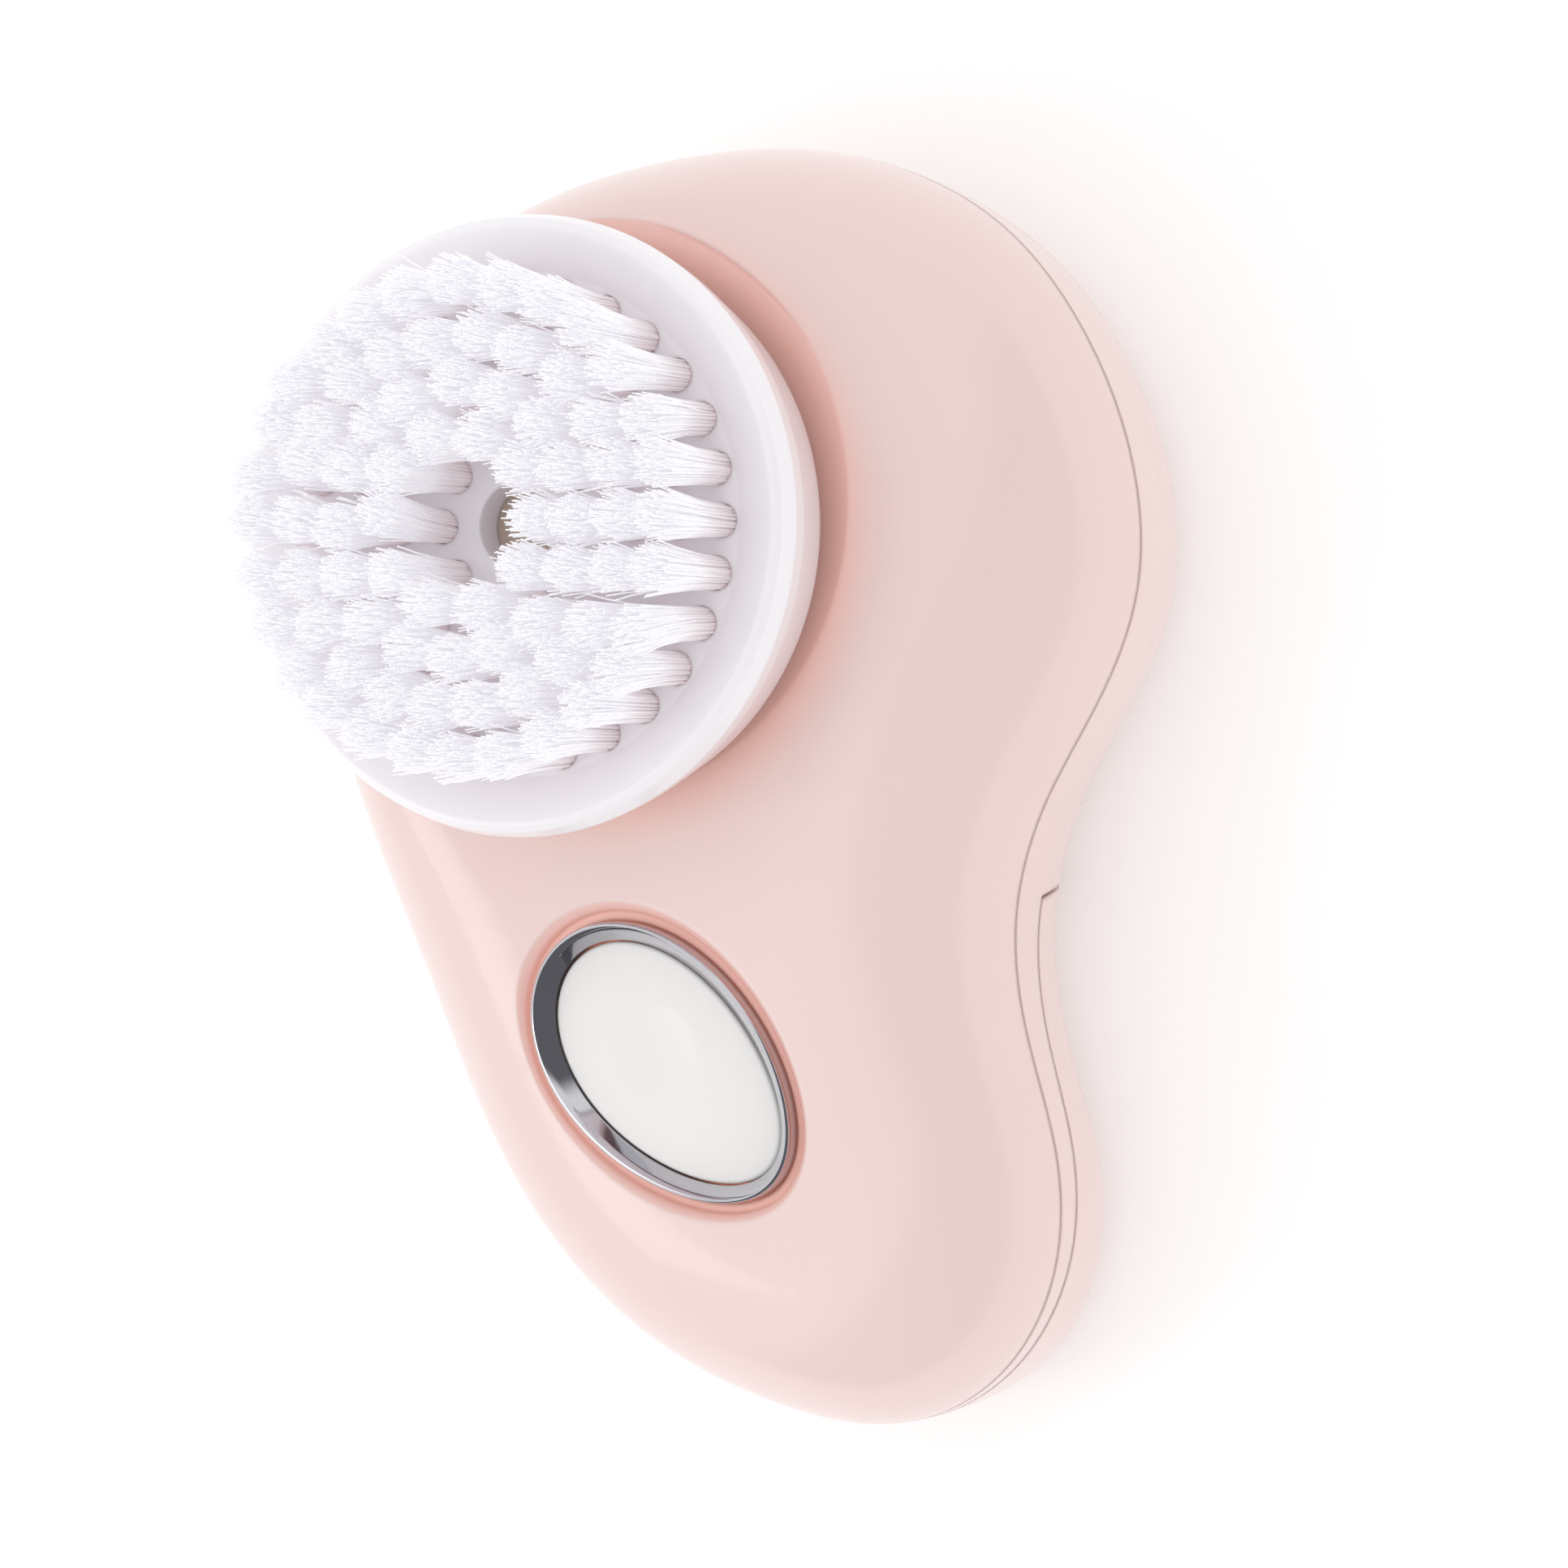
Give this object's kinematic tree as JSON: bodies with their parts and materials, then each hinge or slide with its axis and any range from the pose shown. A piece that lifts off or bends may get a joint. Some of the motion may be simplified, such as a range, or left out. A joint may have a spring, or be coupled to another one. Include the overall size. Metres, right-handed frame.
{
  "type": "facial cleansing brush",
  "caption": "Handheld battery cleansing brush: kidney-shaped two-part housing, round spinning tufted head in a dish, egg-shaped push button with a plated ring.",
  "frame": {"origin": "on the brush's spin axis, in the plane that the back rests on", "axes": "+Z along the spin axis out of the bristles, +Y from the handle to the crown of the head, +X to the right in the front view"},
  "size_m": [0.0729, 0.1045, 0.0533],
  "materials": {
    "shell_pink": "glossy moulded, pale pink",
    "seal_rubber": "soft, satin",
    "steel": "machined",
    "bezel_chrome": "bright plated",
    "button_white": "soft gloss white",
    "inner_plastic": "plain moulded",
    "dark_plastic": "plain moulded",
    "board_green": "solder mask",
    "chip_ceramic": "ceramic bodies",
    "lamp_clear": "clear",
    "cell_wrap": "printed sleeve, plain",
    "contact_nickel": "nickel plated",
    "gear_plastic": "natural acetal",
    "magnet": "sintered",
    "rotor_iron": "laminated",
    "copper": "enamelled winding wire",
    "bush_brass": "turned",
    "disc_white": "glossy moulded white",
    "socket_cream": "plain moulded",
    "bristle_white": "fine nylon filaments",
    "wire_skin": "insulated"
  },
  "bodies": {
    "housing": {"front_shell": "shell_pink", "rear_shell": "shell_pink", "seam_gasket": "seal_rubber", "cover_gasket": "seal_rubber", "housing_screws": "steel", "screw_plugs": "seal_rubber", "button_bezel": "bezel_chrome", "button_seal": "seal_rubber", "seal_holder": "inner_plastic", "switch_body": "dark_plastic", "circuit_board": "board_green", "board_screws": "steel", "motor_driver": "dark_plastic", "board_chips": "chip_ceramic", "status_light": "lamp_clear", "cell_left": "cell_wrap", "cell_right": "cell_wrap", "contact_springs": "contact_nickel", "contact_plates": "contact_nickel", "bridge_contact": "contact_nickel", "gearbox_base": "inner_plastic", "gearbox_lid": "inner_plastic", "gearbox_screws": "steel", "idler_axle": "steel", "motor_can": "steel", "motor_end_cap": "dark_plastic", "motor_terminals": "contact_nickel", "motor_magnets": "magnet", "motor_screws": "steel", "spindle_bush": "bush_brass", "base_bush": "bush_brass", "shaft_seal": "seal_rubber", "motor_wires": "wire_skin", "battery_wires": "wire_skin"},
    "spindle": {"drive_spindle": "steel", "output_gear": "gear_plastic", "thrust_washer": "steel"},
    "brush_head": {"brush_disc": "disc_white", "hub_socket": "socket_cream", "tufts_outer": "bristle_white", "tufts_third": "bristle_white", "tufts_second": "bristle_white", "tufts_inner": "bristle_white"},
    "idler": {"idler_gear": "gear_plastic"},
    "rotor": {"motor_shaft": "steel", "motor_pinion": "bush_brass", "motor_rotor": "rotor_iron", "motor_windings": "copper"},
    "button": {"power_button": "button_white"},
    "plunger": {"switch_plunger": "dark_plastic"},
    "cover": {"battery_cover": "shell_pink"}
  },
  "joints": [
    {"name": "brush_spin", "type": "hinge", "parent": "housing", "child": "spindle", "pos_m": [0, 0, 0.03], "axis": [0, 0, 1], "continuous": true},
    {"name": "head_pull", "type": "slide", "parent": "spindle", "child": "brush_head", "axis": [0, 0, 1], "range_m": [0, 0.012]},
    {"name": "idler_spin", "type": "hinge", "parent": "housing", "child": "idler", "pos_m": [0.01431, -0.00448, 0.018], "axis": [0, 0, 1], "continuous": true},
    {"name": "motor_spin", "type": "hinge", "parent": "housing", "child": "rotor", "pos_m": [0.015, 0.008, 0.01], "axis": [0, 0, 1], "continuous": true},
    {"name": "button_press", "type": "slide", "parent": "housing", "child": "button", "axis": [0, 0.042, -0.9991], "range_m": [0, 0.0006], "stiffness_N_per_m": 1500, "springref_m": -0.0004},
    {"name": "plunger_press", "type": "slide", "parent": "housing", "child": "plunger", "axis": [0, 0.042, -0.9991], "range_m": [0, 0.0006]},
    {"name": "cover_slide", "type": "slide", "parent": "housing", "child": "cover", "axis": [0.4226, -0.9063, 0], "range_m": [0, 0.025]}
  ],
  "couplings": [
    {"joint": "idler_spin", "follows": "brush_spin", "ratio": -4},
    {"joint": "motor_spin", "follows": "brush_spin", "ratio": 16},
    {"joint": "plunger_press", "follows": "button_press", "ratio": 1}
  ]
}
